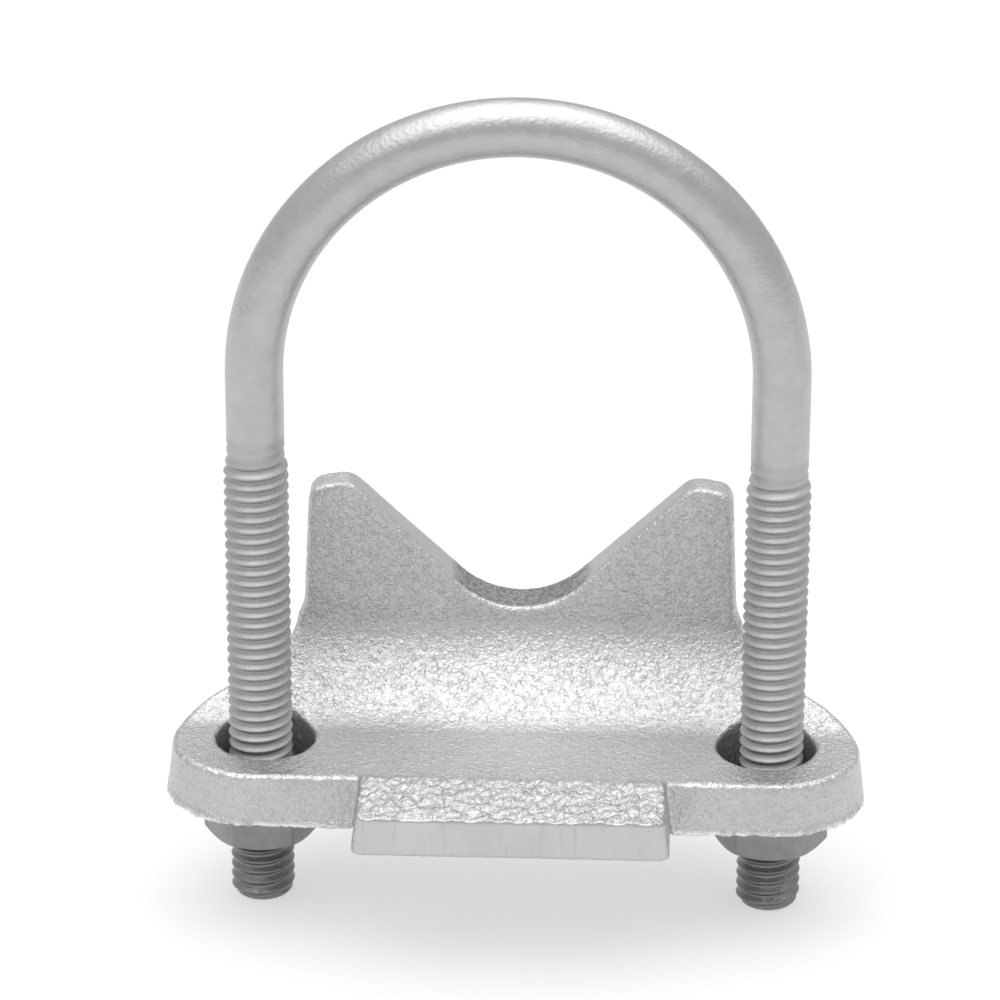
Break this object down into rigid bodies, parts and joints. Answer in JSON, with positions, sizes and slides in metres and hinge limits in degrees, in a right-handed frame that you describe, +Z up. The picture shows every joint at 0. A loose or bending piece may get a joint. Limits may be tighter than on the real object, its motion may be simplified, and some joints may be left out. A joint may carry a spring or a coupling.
{
  "type": "right angle conduit support",
  "caption": "Cast base with a V saddle, hooked over a beam flange, and a U-bolt with hex nuts that clamps a conduit across it.",
  "frame": {"origin": "On the flange seat, the top face of the plate, midway between the two legs of the U-bolt and in their plane.", "axes": "+Z up out of the flange seat, towards the crown of the U-bolt; +Y from the toe back to the web, along the conduit; X across the two legs."},
  "size_m": [0.0864, 0.0403, 0.1053],
  "materials": {
    "galvanised_casting": "hot-dip galvanised over an as-cast skin, matt and pebbled",
    "galvanised_steel": "zinc coated, dull, with bright rolled threads",
    "plated_nut": "zinc coated, dull grey"
  },
  "bodies": {
    "root": {"base_casting": "galvanised_casting", "u_bolt": "galvanised_steel", "nut_left": "plated_nut", "nut_right": "plated_nut"}
  },
  "joints": []
}
